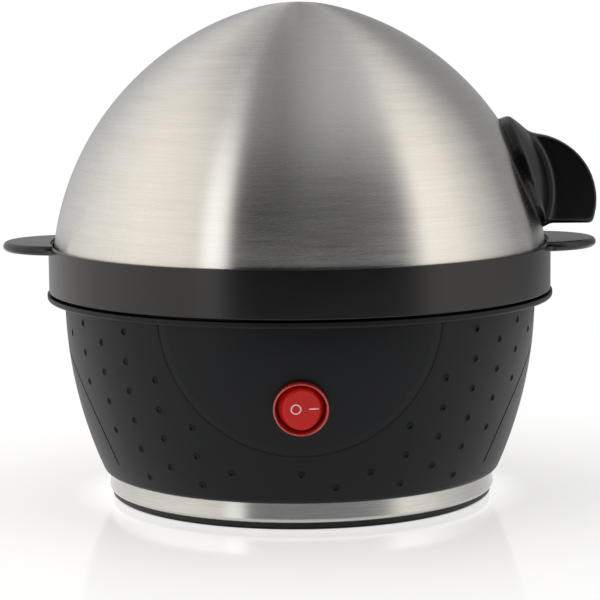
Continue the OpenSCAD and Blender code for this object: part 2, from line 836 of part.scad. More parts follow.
module steel_ring() {
    top_z = low_z - fit_gap;
    lip_r = ring_d / 2 - ring_lip;
    inner_fold = fold_points(ring_fold_r - ring_t);
    color("silver") lathe() polygon(concat(
        [[lip_r, ring_z]], fold_points(ring_fold_r),
        [[ring_wall_r(0, top_z), top_z], [ring_wall_r(ring_t, top_z), top_z]],
        [for (i = [fold_steps : -1 : 0]) inner_fold[i]], [[lip_r, ring_z + ring_t]]));
}

module slot() {
    square([slot_l - slot_w, slot_w], center = true);
    for (s = [-1, 1]) translate([s * (slot_l - slot_w) / 2, 0]) circle(d = slot_w);
}

module base_plate() {
    color("#18181a") difference() {
        lathe() {
            box2(0, plate_d / 2, plate_z, ring_z);
            box2(0, ring_d / 2 - ring_lip - hole_gap, plate_z, plate_top_z);
        }
        around(base_screw_angles, base_screw_r) {
            through(2 * (plate_top_z + cut)) circle(screw_r + hole_gap);
            through(2 * ring_z) circle(head_r + hole_gap);
        }
        around(foot_angles, foot_ring_r) through(2 * (plate_z + foot_seat_t)) circle(d = foot_d + 2 * fit_gap);
        around([0 : 60 : 300], slot_ring_r) rotate([0, 0, 90]) through(2 * (plate_top_z + cut)) slot();
        translate([0, block_y, plate_top_z]) through(2 * (block_screw_l + hole_gap)) circle(screw_r);
    }
}

module base_screws() {
    color("lightgrey") around(base_screw_angles, base_screw_r) translate([0, 0, ring_z])
        screw(plate_plug_h + base_screw_l);
}

module rubber_feet() {
    color("#101010") around(foot_angles, foot_ring_r) cylinder(d = foot_d, h = plate_z + foot_seat_t);
}

// Pan and heater

module pan_half(grow, top) {
    bend_z = pan_rim_z - pan_straight;
    floor_r = pan_floor_d / 2;
    slope = (pan_r - floor_r) / (bend_z - pan_floor_z);
    lean = (sqrt(1 + slope * slope) - slope) * grow;
    wall_bend = bend_z - grow * (sqrt(1 + slope * slope) - 1) / slope;
    polygon([
        [0, pan_floor_z - grow], [floor_r + lean, pan_floor_z - grow],
        [pan_r + grow, wall_bend], [pan_r + grow, top], [0, top]
    ]);
}

module heating_pan() {
    color("gainsboro") {
        lathe() difference() {
            union() {
                pan_half(pan_t, pan_rim_z);
                box2(0, pan_rim_r, pan_rim_z - pan_t, pan_rim_z);
            }
            pan_half(0, pan_rim_z + cut);
        }
        around(bracket_angles, stud_ring_r) translate([0, 0, pan_under_z - stud_l])
            cylinder(r = screw_r - thread_gap, h = stud_l + eps);
    }
}

module pan_seal() {
    seal_mid_r = (deck_r + recess_r) / 2;
    color("#c9c4bb") translate([0, 0, seal_z]) ring(seal_mid_r + seal_w / 2, seal_mid_r - seal_w / 2, seal_t);
}

module pan_brackets() {
    inner = spreader_d / 2 + bracket_end_gap;
    outer = housing_r(pan_under_z - bracket_t) - housing_wall - bracket_end_gap;
    color("lightgrey") around(bracket_angles, 0) translate([0, 0, pan_under_z - bracket_t]) difference() {
        translate([inner, -bracket_w / 2, 0]) cube([outer - inner, bracket_w, bracket_t]);
        for (r = [stud_ring_r, bracket_screw_r]) translate([r, 0, 0])
            through(2 * (bracket_t + cut)) circle(screw_r + hole_gap);
    }
}

module bracket_screws() {
    color("lightgrey") around(bracket_angles, bracket_screw_r) translate([0, 0, pan_under_z - bracket_t])
        screw(bracket_screw_l + bracket_t);
}

module pan_nuts() {
    nut_z = pan_under_z - bracket_t - nut_h;
    color("lightgrey") around(bracket_angles, stud_ring_r) translate([0, 0, nut_z]) difference() {
        cylinder(d = nut_flats / cos(30), h = nut_h, $fn = 6);
        through(2 * (nut_h + cut)) circle(screw_r);
    }
}

// Depth of the tapped holes for the thermostat's screws
tap_depth = spreader_t * 2 / 3;

module heat_spreader() {
    color("lightgrey") translate([0, 0, spreader_z]) difference() {
        cylinder(d = spreader_d, h = spreader_t);
        for (s = [-1, 1]) translate([s * thermostat_pitch / 2, 0, 0]) through(2 * tap_depth) circle(screw_r);
    }
}

element_z = spreader_z - element_d / 2 + element_flat;
element_r = element_ring_d / 2;
element_low_z = element_z - element_leg;

module heating_element() {
    color("dimgrey") intersection() {
        union() {
            rotate([0, 0, 90 + element_gap_a]) translate([0, 0, element_z])
                rotate_extrude(angle = 360 - 2 * element_gap_a) translate([element_r, 0]) circle(d = element_d);
            for (s = [-1, 1]) rotate([0, 0, 90 + s * element_gap_a]) translate([element_r, 0, element_low_z])
                cylinder(d = element_d + 2 * lap, h = far);
        }
        cylinder(r = far, h = spreader_z);
    }
}

// A flat terminal that hangs down from the origin
module blade(length) {
    translate([-blade_t / 2, -blade_w / 2, -length]) cube([blade_t, blade_w, length]);
}

module element_terminals() {
    color("goldenrod") for (s = [-1, 1]) rotate([0, 0, 90 + s * element_gap_a])
        translate([element_r, 0, element_low_z]) blade(element_blade_l);
}

cap_z = spreader_z - thermostat_cap_h;
clamp_z = cap_z - clamp_t;
thermostat_z = clamp_z - thermostat_h;

module thermostat() {
    color("ivory") {
        translate([0, 0, cap_z]) cylinder(d = thermostat_cap_d, h = thermostat_cap_h);
        translate([0, 0, thermostat_z])
            cylinder(d = thermostat_d - 2 * hole_gap, h = thermostat_h + clamp_t + eps);
        for (s = [-1, 1]) translate([s * thermostat_blade_gap / 2, 0, thermostat_z + eps])
            blade(thermostat_blade_l + eps);
    }
}

module thermostat_clamp() {
    color("lightgrey") translate([0, 0, clamp_z]) linear_extrude(clamp_t) difference() {
        union() {
            circle(d = thermostat_cap_d);
            square([thermostat_pitch, 2 * clamp_ear_r], center = true);
            for (s = [-1, 1]) translate([s * thermostat_pitch / 2, 0]) circle(clamp_ear_r);
        }
        circle(d = thermostat_d);
        for (s = [-1, 1]) translate([s * thermostat_pitch / 2, 0]) circle(screw_r + hole_gap);
    }
}

module thermostat_screws() {
    color("lightgrey") for (s = [-1, 1]) translate([s * thermostat_pitch / 2, 0, clamp_z])
        screw(spreader_z + tap_depth - fit_gap - clamp_z);
}

fuse_z = spreader_z - fuse_d / 2 - hole_gap;

module thermal_fuse() {
    color("lightgrey") translate([0, -fuse_front, fuse_z]) rotate([0, 90, 0])
        through(fuse_l) circle(d = fuse_d);
}

module fuse_clip() {
    clip_w = fuse_d + 2 * fuse_clip_foot;
    clip_l = fuse_l / 2;
    low = fuse_z - fuse_d / 2 - fuse_clip_wall;
    color("lightgrey") difference() {
        translate([-clip_l / 2, -fuse_front - clip_w / 2, low]) cube([clip_l, clip_w, spreader_z - low]);
        translate([0, -fuse_front, fuse_z]) rotate([0, 90, 0]) through(fuse_l) circle(d = fuse_d + 2 * fit_gap);
    }
}

// Switch

module switch_case() {
    edge = switch_edge_r;
    hole_r = rocker_hole_d / 2;
    bezel_r = bezel_d / 2;
    color("#b3201f") on_switch() difference() {
        rotate_extrude() {
            box2(hole_r, bezel_r, 0, bezel_h - edge);
            box2(hole_r, bezel_r - edge, 0, bezel_h);
            intersection() {
                translate([bezel_r - edge, bezel_h - edge]) circle(edge);
                box2(hole_r, bezel_r, 0, bezel_h);
            }
            box2(hole_r, barrel_d / 2, -barrel_l, eps);
            box2(0, barrel_d / 2, -barrel_l, case_floor);
        }
        translate([0, 0, pivot]) rotate([90, 0, 0])
            through(barrel_d + 2 * cut) circle(d = rocker_pin_d + 2 * thread_gap);
    }
}

// The rocker is a slice of a ball round its pivots, and lies with its on side pressed in
module switch_rocker() {
    rocker_r = rocker_d / 2;
    color("#c42a26") on_switch() translate([0, 0, pivot]) rotate([0, rocker_rest, 0]) {
        rotate_extrude() intersection() {
            circle(rocker_r);
            box2(0, rocker_r, -rocker_depth, rocker_arm);
        }
        rotate([90, 0, 0]) through(barrel_d - 2 * fit_gap) circle(d = rocker_pin_d);
    }
}

module switch_lamp() {
    color("orange") on_switch() translate([0, 0, case_floor + lamp_d / 2 + thread_gap]) rotate([90, 0, 0])
        through(2 * rocker_foot_r) circle(d = lamp_d);
}

module switch_terminals() {
    color("goldenrod") on_switch() for (i = [-1 : 1])
        translate([i * blade_pitch, 0, -barrel_l]) blade(blade_l);
}

// Cord inlet and wiring

module cord_grommet() {
    inner_z = -inlet_boss_l - inlet_flange_t;
    color("#141414") on_inlet() difference() {
        union() {
            cylinder(d = inlet_flange_d, h = inlet_flange_t);
            translate([0, 0, inner_z]) cylinder(d = inlet_neck_d, h = eps - inner_z);
            translate([0, 0, inner_z]) cylinder(d = (inlet_neck_d + inlet_flange_d) / 2, h = inlet_flange_t);
        }
        through(far) circle(d = inlet_bore_d);
    }
}

module terminal_block() {
    color("white") translate([0, block_y, plate_top_z]) difference() {
        translate([-block_w / 2, -block_depth / 2, 0]) cube([block_w, block_depth, block_h]);
        for (s = [-1, 1]) translate([s * block_pitch / 2, 0, block_h / 2]) {
            rotate([90, 0, 0]) through(block_depth + 2 * cut) circle(d = lead_d + 2 * hole_gap);
            cylinder(r = screw_r, h = block_h);
        }
        through(2 * (block_h + cut)) circle(screw_r + hole_gap);
    }
}

module terminal_screws() {
    color("goldenrod") for (s = [-1, 1])
        translate([s * block_pitch / 2, block_y, plate_top_z + block_h - pole_screw_l])
            cylinder(r = screw_r - thread_gap, h = pole_screw_l);
}

module block_screw() {
    color("lightgrey") translate([0, block_y, plate_top_z + block_h]) rotate([180, 0, 0])
        screw(block_h + block_screw_l);
}

// A lead is a round tube swept along a smooth curve through its points
function curve(p, i, t) =
    let (a = p[max(i - 1, 0)])
    let (d = p[min(i + 2, len(p) - 1)])
    0.5 * (2 * p[i] + (p[i + 1] - a) * t + (2 * a - 5 * p[i] + 4 * p[i + 1] - d) * t * t
        + (3 * p[i] - a - 3 * p[i + 1] + d) * t * t * t);
function smooth(p, steps) = concat(
    [for (i = [0 : len(p) - 2], s = [0 : steps - 1]) curve(p, i, s / steps)], [p[len(p) - 1]]);
function unit(v) = v / norm(v);
function tangents(p) = [for (i = [0 : len(p) - 1]) unit(p[min(i + 1, len(p) - 1)] - p[max(i - 1, 0)])];
function across(n, t) = unit(n - t * (n * t));
function carried(t, n, i = 0) = i == len(t) ? [] :
    let (m = across(n, t[i])) concat([m], carried(t, m, i + 1));

module lead(route) {
    sides = 8;
    p = smooth(route, 3);
    t = tangents(p);
    n = carried(t, abs(t[0][2]) > 0.7 ? [1, 0, 0] : [0, 0, 1]);
    last = (len(p) - 1) * sides;
    points = [for (i = [0 : len(p) - 1], k = [0 : sides - 1])
        p[i] + lead_d / 2 * (cos(k * 360 / sides) * n[i] + sin(k * 360 / sides) * cross(t[i], n[i]))];
    walls = [for (i = [0 : len(p) - 2], k = [0 : sides - 1], half = [0, 1])
        let (a = i * sides + k, b = i * sides + (k + 1) % sides)
        half == 0 ? [a, a + sides, b] : [b, a + sides, b + sides]];
    start_face = [for (k = [0 : sides - 1]) k];
    end_face = [for (k = [sides - 1 : -1 : 0]) last + k];
    polyhedron(points, concat(walls, [start_face, end_face]));
}

// Ends of the leads
pole_y = block_y - block_depth / 2 + lead_in;
pole_z = plate_top_z + block_h / 2;
blade_end = -barrel_l - blade_l - lead_d / 2 - fit_gap;
element_end_z = element_low_z - element_blade_l - lead_d / 2 - fit_gap;
element_end = element_r * [sin(element_gap_a), cos(element_gap_a)];
thermostat_end_z = thermostat_z - thermostat_blade_l - lead_d / 2 - fit_gap;
thermostat_end_x = thermostat_blade_gap / 2;

module lead_live() {
    color("saddlebrown") lead([
        [-block_pitch / 2, pole_y, pole_z], [-0.6 * block_pitch, 0.7 * block_y, pole_z],
        [-0.9 * lead_side, 0.4 * lead_front, lead_low_z], [-lead_side, -lead_front / 3, lead_low_z],
        [-0.7 * lead_side, -lead_front, 1.2 * lead_mid_z],
        switch_point([-1.7 * blade_pitch, -0.5 * blade_pitch, blade_end - blade_l]),
        switch_point([-blade_pitch, 0, blade_end])
    ]);
}

module lead_switched() {
    color("black") lead([
        switch_point([0, 0, blade_end]),
        switch_point([0.1 * blade_pitch, -blade_pitch, blade_end - blade_pitch]),
        [0.7 * thermostat_end_x, -0.83 * lead_front, 1.35 * lead_mid_z],
        [1.2 * thermostat_end_x, -0.4 * lead_front, 0.95 * lead_mid_z],
        [1.1 * thermostat_end_x, -lead_front / 12, 1.2 * lead_mid_z], [thermostat_end_x, 0, thermostat_end_z]
    ]);
}

module lead_heater() {
    color("black") lead([
        [-thermostat_end_x, 0, thermostat_end_z],
        [-1.25 * thermostat_end_x, lead_front / 9, 1.13 * lead_mid_z],
        [-element_end[0], lead_front * 0.4, 0.95 * lead_mid_z],
        [-1.15 * element_end[0], lead_front * 2 / 3, lead_mid_z],
        [-element_end[0], element_end[1], element_end_z]
    ]);
}

module lead_neutral() {
    color("royalblue") lead([
        [element_end[0], element_end[1], element_end_z],
        [1.15 * element_end[0], 0.7 * lead_front, 1.07 * lead_mid_z],
        [0.9 * element_end[0], 0.75 * lead_front, lead_mid_z * 2 / 3],
        [block_pitch / 2, pole_y - 2 * lead_in, pole_z], [block_pitch / 2, pole_y, pole_z]
    ]);
}

module lead_lamp() {
    color("royalblue") lead([
        [element_end[0] + lead_d + fit_gap, element_end[1], element_end_z],
        [0.83 * lead_side, 0.55 * lead_front, 0.95 * lead_mid_z], [lead_side, 0, lead_low_z],
        [0.83 * lead_side, -0.83 * lead_front, 0.95 * lead_mid_z],
        switch_point([1.7 * blade_pitch, -0.5 * blade_pitch, blade_end - blade_l]),
        switch_point([blade_pitch, 0, blade_end])
    ]);
}

lid_dome();
lid_handle();
handle_screws();
handle_washers();
egg_tray();
housing();
steel_ring();
base_plate();
base_screws();
rubber_feet();
heating_pan();
pan_seal();
pan_brackets();
bracket_screws();
pan_nuts();
heat_spreader();
heating_element();
element_terminals();
thermostat();
thermostat_clamp();
thermostat_screws();
thermal_fuse();
fuse_clip();
switch_case();
switch_rocker();
switch_lamp();
switch_terminals();
cord_grommet();
terminal_block();
terminal_screws();
block_screw();
lead_live();
lead_switched();
lead_heater();
lead_neutral();
lead_lamp();
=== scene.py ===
import math

import bmesh
import bpy
import numpy as np
from mathutils import Matrix, Vector


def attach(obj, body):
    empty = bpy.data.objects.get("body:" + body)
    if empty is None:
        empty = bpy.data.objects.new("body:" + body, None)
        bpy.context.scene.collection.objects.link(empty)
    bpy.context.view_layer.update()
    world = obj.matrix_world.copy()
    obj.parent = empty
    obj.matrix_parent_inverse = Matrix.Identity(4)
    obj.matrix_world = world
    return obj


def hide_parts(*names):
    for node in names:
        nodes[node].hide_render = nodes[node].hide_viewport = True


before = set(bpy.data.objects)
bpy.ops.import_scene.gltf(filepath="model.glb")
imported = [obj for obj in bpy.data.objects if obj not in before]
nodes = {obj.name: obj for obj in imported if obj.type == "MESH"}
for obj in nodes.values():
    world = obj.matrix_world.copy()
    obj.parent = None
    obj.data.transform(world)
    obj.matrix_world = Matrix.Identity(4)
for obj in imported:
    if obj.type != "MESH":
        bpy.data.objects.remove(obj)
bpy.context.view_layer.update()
scene = bpy.context.scene
MM = 0.001

# Sizes below are in millimetres and degrees unless a comment says otherwise

# Lid: its dome is two arcs turned about Z, with a rolled hem
LID_Z = 77.6
DOME_R = 78.55
DOME_H = 79.2
DOME_T = 0.6
SIDE_C = (-10.2341, 68.9964)
SIDE_R = 89.2
TIP_R = 51.0
HEM_R = 0.9
VENT_D = 4.0
VENT_A = 48.0
VENT_CUT = 6.0
BRUSH_Z = 67.6

# Lid's handle: a crowned round pad that leans on the dome, and a fin
PAD_A = 22.1308
PAD_LEAN = 4.0
PAD_D = 37.0
PAD_CROWN = 7.0
CROWN_R = 28.565
FIN_REACH = 94.6
FIN_R = 21.0
FIN_UP = LID_Z + 15.9
FIN_LOW = LID_Z + 8.5
FIN_CORNER_R = 1.2
FIN_EDGE_R = 0.9
FIN_T = 8.0
FILLET = 2.4
PAD_BLEND = 0.8
SEAT_BLEND = 0.25
HANDLE_LOW = (60, -20.5, 82)
HANDLE_HIGH = (96, 20.5, 126)
HANDLE_STEP = 0.7

# Front and rear panels of the base: the lower part of a circle, up to the top of the side
PANEL_R = 42.4
PANEL_Z = 66.4
SIDE_TOP = 63.6
PANEL_RIM_W = 2.6
PANEL_RIM_H = 0.22
PANEL_LINE_W = 0.42
PANEL_LINE_FADE = 0.7
PANEL_LINE_MATT = 0.8

# Switch: its place on the front, its case and its rocker
SWITCH_R = 73.1596
SWITCH_Z = 39.5
SWITCH_TILT = -10.3353
BEZEL_R = 8.2
BEZEL_H = 2.4
RIM_R = 0.3
RIM_IN = 7.62
RIM_ARC = 165
BARREL_R = 7.7
BARREL_L = 12.0
HOLE_R = 7.25
HOLE_FLARE = 0.1
CASE_FLOOR = -7.4
ROCKER_PIVOT = -1.4
ROCKER_ARM = 3.7
ROCKER_REST = 7.0
ROCKER_R = 7.05
ROCKER_LOW = -2.6
FLANK_UP = 12.0
FACE_R = 5.75
FACE_EDGE_R = 0.8
FACE_DISH = 0.05
DISH_HALFWAY = 0.75
END_SLOPE = 0.15
SLOPE_FROM = 1.4

# Marks on the rocker: a ring for off and a bar for on
MARK_H = 0.12
MARK_UP = 0.05
MARK_SIDE = 0.02
MARK_BEVEL = 0.04
OFF_R_IN = 1.22
OFF_R_OUT = 1.58
OFF_PLACE = (-1.9, 0.3)
ON_SIZE = (2.9, 0.42)
ON_PLACE = (3.4, 0.23)
BAR_BEVEL = 0.3

# How finely curves are drawn
DOME_SEGMENTS = 288
DOME_OUTER_STEPS = 90
DOME_INNER_STEPS = 60
TIP_OUTER_STEPS = 24
TIP_INNER_STEPS = 16
ROUND_STEPS = 14
FLANK_STEPS = 12
SWITCH_SEGMENTS = 128
MARK_SEGMENTS = 64
HOLE_SEGMENTS = 48
FLOOR_SEGMENTS = 128
TENT_SEGMENTS = 96
TENT_ROW = 6


# Meshes

LATHE_MERGE = 1e-6
NET_MERGE = 1e-7
NET_PULLS = 12
NET_PULL = 0.7
NET_PROBE = 0.05
NET_SLOPE_MIN = 1e-6


def new_object(name, mesh, smooth=True):
    obj = bpy.data.objects.new(name, mesh)
    scene.collection.objects.link(obj)
    if smooth:
        mesh.polygons.foreach_set("use_smooth", [True] * len(mesh.polygons))
    return obj


def mesh_from(name, points, faces):
    mesh = bpy.data.meshes.new(name)
    mesh.from_pydata([tuple(float(c) * MM for c in p) for p in points], [], [tuple(f) for f in faces])
    mesh.validate()
    return mesh


def clean(mesh, merge):
    """Joins points that lie closer than merge, in metres, and turns the faces outwards."""
    bm = bmesh.new()
    bm.from_mesh(mesh)
    bmesh.ops.remove_doubles(bm, verts=bm.verts, dist=merge)
    bmesh.ops.recalc_face_normals(bm, faces=bm.faces)
    bm.to_mesh(mesh)
    bm.free()
    return mesh


def lathe(name, profile, segments, closed=True):
    """A profile of (radius, height), closed or open, turned about Z."""
    turns = [2 * math.pi * k / segments for k in range(segments)]
    points = [(r * math.cos(t), r * math.sin(t), z) for t in turns for r, z in profile]
    count = len(profile)
    sides = count if closed else count - 1
    faces = []
    for k in range(segments):
        here = k * count
        there = (k + 1) % segments * count
        for i in range(sides):
            j = (i + 1) % count
            faces.append((here + i, there + i, there + j, here + j))
    return clean(mesh_from(name, points, faces), LATHE_MERGE)


def arc(centre, radius, start, end, steps):
    angles = np.radians(np.linspace(start, end, steps))
    return [(centre[0] + radius * math.cos(a), centre[1] + radius * math.sin(a)) for a in angles]


def surface_net(name, field, low, high, step):
    """The surface where a distance field is zero, as a mesh whose points are pulled onto it."""
    axes = [np.arange(lo, hi + step, step) for lo, hi in zip(low, high)]
    grid = np.stack(np.meshgrid(*axes, indexing="ij"), axis=-1)
    inside = field(grid) < 0
    shape = np.array(inside.shape) - 1
    corners = [(i, j, k) for i in (0, 1) for j in (0, 1) for k in (0, 1)]

    def at(corner):
        return tuple(slice(c, c + n) for c, n in zip(corner, shape))

    total = sum(inside[at(c)].astype(int) for c in corners)
    active = (total > 0) & (total < len(corners))
    index = -np.ones(shape, int)
    index[active] = np.arange(active.sum())
    points = np.array(low) + (np.argwhere(active) + 0.5) * step
    probe = step * NET_PROBE
    for _ in range(NET_PULLS):
        distance = field(points)
        slope = np.stack([
            (field(points + probe * e) - field(points - probe * e)) / (2 * probe) for e in np.eye(3)
        ], axis=-1)
        size = np.maximum((slope * slope).sum(axis=-1, keepdims=True), NET_SLOPE_MIN)
        points = points - np.clip(distance[:, None] * slope / size, -step, step) * NET_PULL
    faces = []
    for axis, (a, b) in enumerate(((1, 2), (2, 0), (0, 1))):
        first = [slice(1, n) for n in shape]
        first[axis] = slice(0, shape[axis])
        second = list(first)
        second[axis] = slice(1, shape[axis] + 1)
        crossing = np.argwhere(inside[tuple(first)] != inside[tuple(second)])
        offset = np.array([0 if k == axis else 1 for k in range(3)])
        for cell in crossing + offset:
            quad = []
            for back_a, back_b in ((1, 1), (0, 1), (0, 0), (1, 0)):
                corner = cell.copy()
                corner[a] -= back_a
                corner[b] -= back_b
                quad.append(index[tuple(corner)])
            if not inside[tuple(cell)]:
                quad.reverse()
            faces.append(quad)
    return clean(mesh_from(name, points, faces), NET_MERGE)


# Shader nodes

GRAIN_DEPTH = 0.05 * MM


def add(tree, kind, inputs=None, **settings):
    """A node whose inputs are set to values or linked to outputs."""
    made = tree.nodes.new("ShaderNode" + kind)
    for key, value in settings.items():
        setattr(made, key, value)
    for key, value in (inputs or {}).items():
        if isinstance(value, bpy.types.NodeSocket):
            tree.links.new(value, made.inputs[key])
        else:
            made.inputs[key].default_value = value
    return made


def object_place(tree):
    return add(tree, "TexCoord").outputs["Object"]


def split(tree, place):
    return add(tree, "SeparateXYZ", {0: place}).outputs


def calc(tree, operation, a, b=0.0):
    return add(tree, "Math", {0: a, 1: b}, operation=operation).outputs[0]


def hypot(tree, a, b):
    return calc(tree, "SQRT", calc(tree, "ADD", calc(tree, "MULTIPLY", a, a), calc(tree, "MULTIPLY", b, b)))


def blend(tree, a, b, share):
    return calc(tree, "ADD", calc(tree, "MULTIPLY", a, share), calc(tree, "MULTIPLY", b, 1 - share))


def ramp(tree, value, start, end, low=0.0, high=1.0, kind="LINEAR"):
    """A level that goes from low to high while the value goes from start to end."""
    made = add(tree, "MapRange", {0: value, 1: start, 2: end, 3: low, 4: high}, interpolation_type=kind)
    return made.outputs[0]


def noise(tree, place, scale, detail, rough=0.5):
    made = add(tree, "TexNoise", {"Vector": place, "Scale": scale, "Detail": detail, "Roughness": rough})
    return made.outputs[0]


def two_tones(tree, value, colour, places, shares):
    """The colour, darkened at the first place of the value and lightened at the second."""
    made = add(tree, "ValToRGB", {0: value})
    for element, place, share in zip(made.color_ramp.elements, places, shares):
        element.position = place
        element.color = tuple(min(c * share, 1) for c in colour) + (1,)
    return made.outputs[0]


def grain_bump(tree, height, strength):
    return add(tree, "Bump", {"Height": height, "Strength": strength, "Distance": GRAIN_DEPTH}).outputs[0]


def empty_material(name):
    """A material, its tree with only an output, and the socket for a shader."""
    made = bpy.data.materials.new(name)
    made.use_nodes = True
    tree = made.node_tree
    tree.nodes.clear()
    return made, tree, add(tree, "OutputMaterial").inputs["Surface"]


def material(name):
    made, tree, surface = empty_material(name)
    shader = add(tree, "BsdfPrincipled")
    tree.links.new(shader.outputs[0], surface)
    return made, tree, shader


# Materials

STEEL_GLOSS_SPREAD = 0.06
STEEL_TONE_PLACES = (0.3, 0.7)
STEEL_TONE_SHARES = (0.9, 1.08)
FINE_LINES = 0.7
BROAD_CELLS = 0.5
BROAD_LINES = 0.12
QUARTER_TURN = 0.25
SLOW_SCALE = 45.0
MOULD_TONE_PLACES = (0.35, 0.65)
COOL = (0.9, 0.94, 1.0, 1.0)
AXIS_MIN = 1e-5


def around_axis(tree, cells, per_metre, centre_z=None):
    """Coordinates that run slowly round the Z axis and fast along the surface, for brushed lines."""
    x, y, z = split(tree, object_place(tree))
    radius = hypot(tree, x, y)
    safe = calc(tree, "MAXIMUM", radius, AXIS_MIN)
    if centre_z is None:
        along = calc(tree, "ADD", z, radius)
    else:
        up = calc(tree, "SUBTRACT", z, centre_z * MM)
        along = calc(tree, "MULTIPLY", calc(tree, "ARCTAN2", radius, up), DOME_R * MM)
    return add(tree, "CombineXYZ", {
        0: calc(tree, "MULTIPLY", calc(tree, "DIVIDE", x, safe), cells),
        1: calc(tree, "MULTIPLY", calc(tree, "DIVIDE", y, safe), cells),
        2: calc(tree, "MULTIPLY", along, per_metre),
    }).outputs[0]


def brushed_steel(name, colour, rough, cells, per_metre, anisotropy, bump, centre_z=None):
    """Steel with brushed lines round the Z axis."""
    made, tree, shader = material(name)
    fine_place = around_axis(tree, cells, per_metre, centre_z)
    broad_place = around_axis(tree, cells * BROAD_CELLS, per_metre * BROAD_LINES, centre_z)
    fine = noise(tree, fine_place, 1.0, detail=3.0, rough=0.65)
    broad = noise(tree, broad_place, 1.0, detail=2.0)
    streak = blend(tree, fine, broad, FINE_LINES)
    tone = two_tones(tree, streak, colour, STEEL_TONE_PLACES, STEEL_TONE_SHARES)
    tree.links.new(tone, shader.inputs["Base Color"])
    gloss = ramp(tree, streak, 0.0, 1.0, rough - STEEL_GLOSS_SPREAD, rough + STEEL_GLOSS_SPREAD)
    tree.links.new(gloss, shader.inputs["Roughness"])
    shader.inputs["Metallic"].default_value = 1.0
    shader.inputs["Anisotropic"].default_value = anisotropy
    shader.inputs["Anisotropic Rotation"].default_value = QUARTER_TURN
    tangent = add(tree, "Tangent", direction_type="RADIAL", axis="Z")
    tree.links.new(tangent.outputs[0], shader.inputs["Tangent"])
    tree.links.new(grain_bump(tree, fine, bump), shader.inputs["Normal"])
    return made


def moulded(name, colour, rough, grain, bump=0.1, spread=0.06, shine=0.5, tint=0.25, metal=0.0):
    """Plastic, rubber or plain metal: a fine grain, and slow changes of gloss and tone."""
    made, tree, shader = material(name)
    place = object_place(tree)
    fine = noise(tree, place, grain, detail=4.0, rough=0.6)
    slow = noise(tree, place, SLOW_SCALE, detail=3.0, rough=0.6)
    both = blend(tree, fine, slow, 0.5)
    tone = two_tones(tree, both, colour, MOULD_TONE_PLACES, (1 - tint, 1 + tint))
    tree.links.new(tone, shader.inputs["Base Color"])
    tree.links.new(ramp(tree, slow, 0.0, 1.0, rough - spread, rough + spread), shader.inputs["Roughness"])
    shader.inputs["Metallic"].default_value = metal
    shader.inputs["Specular IOR Level"].default_value = shine
    tree.links.new(grain_bump(tree, fine, bump), shader.inputs["Normal"])
    return made


def panel_edges(made):
    """A soft rim and a matt parting line along the stepped edges of the front and rear panels."""
    tree = made.node_tree
    shader = next(n for n in tree.nodes if n.type == "BSDF_PRINCIPLED")
    x, _, z = split(tree, object_place(tree))
    reach = hypot(tree, x, calc(tree, "SUBTRACT", z, PANEL_Z * MM))
    outside = calc(tree, "SUBTRACT", reach, PANEL_R * MM)
    rim = ramp(tree, outside, -PANEL_RIM_W * MM, 0.0, 1.0, 0.0, "SMOOTHSTEP")
    gap = calc(tree, "ABSOLUTE", outside)
    line = ramp(tree, gap, PANEL_LINE_W / 2 * MM, PANEL_LINE_W * PANEL_LINE_FADE * MM, 1.0, 0.0)
    on_side = calc(tree, "LESS_THAN", z, SIDE_TOP * MM)
    matt = calc(tree, "MULTIPLY", calc(tree, "MULTIPLY", line, on_side), PANEL_LINE_MATT)
    gloss = shader.inputs["Roughness"].links[0].from_socket
    tree.links.new(calc(tree, "MAXIMUM", gloss, matt), shader.inputs["Roughness"])
    grain = shader.inputs["Normal"].links[0].from_socket
    soft = add(tree, "Bump", {"Height": rim, "Strength": 1.0, "Distance": PANEL_RIM_H * MM, "Normal": grain})
    tree.links.new(soft.outputs[0], shader.inputs["Normal"])
    shader.inputs["Specular Tint"].default_value = COOL


def dress(made, *names):
    for name in names:
        mesh = nodes[name].data
        mesh.materials.clear()
        mesh.materials.append(made)


lid_steel = brushed_steel("brushed_lid", (0.66, 0.65, 0.63), 0.27, cells=4.0, per_metre=2600.0,
                          anisotropy=1.0, bump=0.12, centre_z=BRUSH_Z)
ring_steel = brushed_steel("brushed_ring", (0.52, 0.515, 0.5), 0.24, cells=8.0, per_metre=3000.0,
                           anisotropy=0.9, bump=0.1)
pan_steel = brushed_steel("pan_steel", (0.62, 0.61, 0.59), 0.26, cells=5.0, per_metre=2200.0,
                          anisotropy=0.6, bump=0.1)
gloss_black = moulded("gloss_black", (0.005, 0.0048, 0.0058), 0.24, grain=3200.0,
                      bump=0.03, spread=0.05, shine=0.45)
satin_black = moulded("satin_black", (0.0042, 0.0044, 0.0049), 0.42, grain=2600.0,
                      bump=0.16, spread=0.05, shine=0.22)
panel_edges(satin_black)
base_black = moulded("base_black", (0.008, 0.008, 0.0085), 0.5, grain=2200.0,
                     bump=0.2, spread=0.05, shine=0.3)
rubber = moulded("foot_rubber", (0.014, 0.014, 0.014), 0.75, grain=1800.0, bump=0.3, spread=0.08)
silicone = moulded("seal_silicone", (0.55, 0.53, 0.5), 0.5, grain=1800.0, tint=0.06)
zinc = moulded("zinc_steel", (0.55, 0.56, 0.58), 0.32, grain=2000.0, bump=0.12, tint=0.08, metal=1.0)
aluminium = moulded("cast_aluminium", (0.58, 0.58, 0.59), 0.45, grain=1500.0,
                    bump=0.25, tint=0.1, metal=1.0)
sheath = moulded("element_sheath", (0.2, 0.19, 0.185), 0.42, grain=1500.0, bump=0.15, tint=0.15, metal=1.0)
brass = moulded("terminal_brass", (0.72, 0.53, 0.24), 0.3, grain=2000.0, spread=0.05, tint=0.08, metal=1.0)
resin = moulded("ivory_resin", (0.72, 0.69, 0.6), 0.45, grain=2000.0, spread=0.05, tint=0.05)
